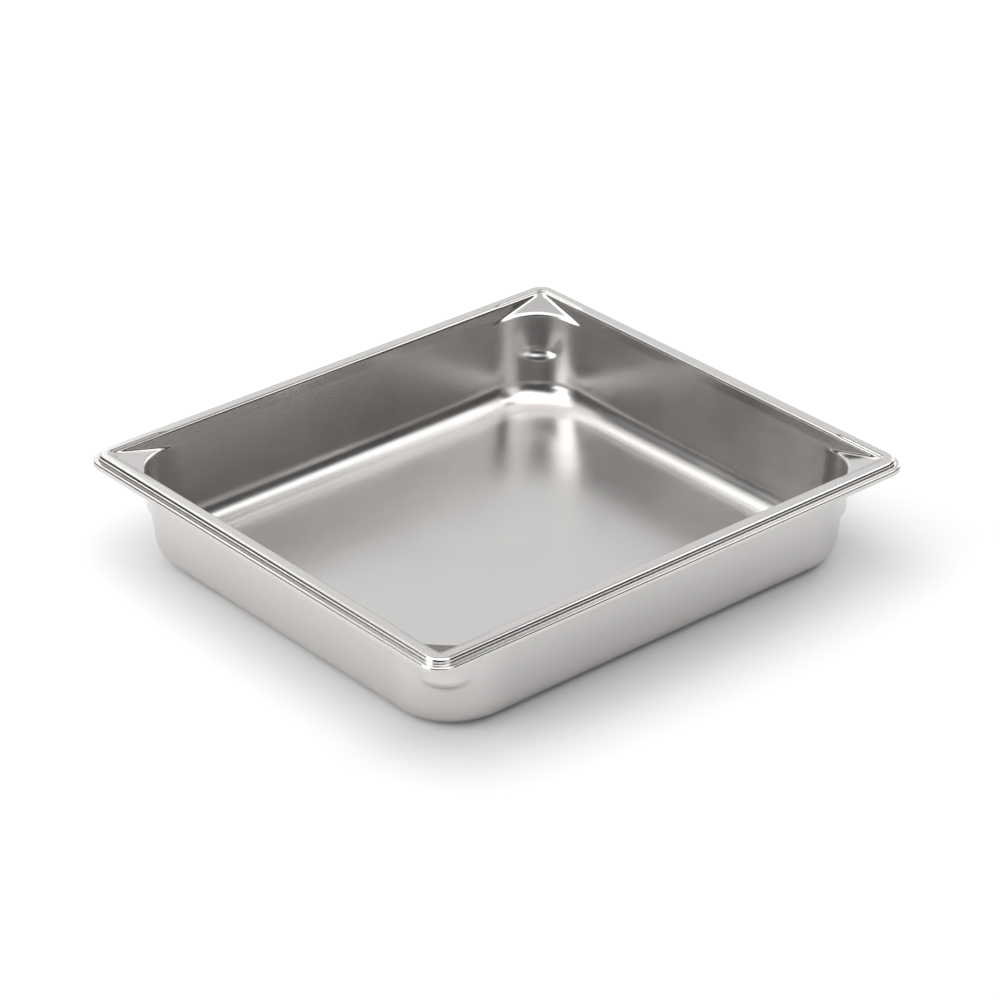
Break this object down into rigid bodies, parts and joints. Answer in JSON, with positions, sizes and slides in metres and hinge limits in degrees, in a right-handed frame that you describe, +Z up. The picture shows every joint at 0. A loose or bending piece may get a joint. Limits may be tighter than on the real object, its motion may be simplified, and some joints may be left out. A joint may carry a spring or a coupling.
{
  "type": "food pan",
  "caption": "Shallow rectangular steel food pan with leaning walls, a stacking lug and a sloping facet in each round corner, and a stepped rim with a hemmed lip.",
  "frame": {"origin": "centre of the flat base, on the surface that the pan stands on", "axes": "+X along the long side, +Y along the short side, +Z up out of the pan's mouth"},
  "size_m": [0.354, 0.325, 0.065],
  "materials": {
    "steel": "satin"
  },
  "bodies": {
    "root": {"pan": "steel"}
  },
  "joints": []
}
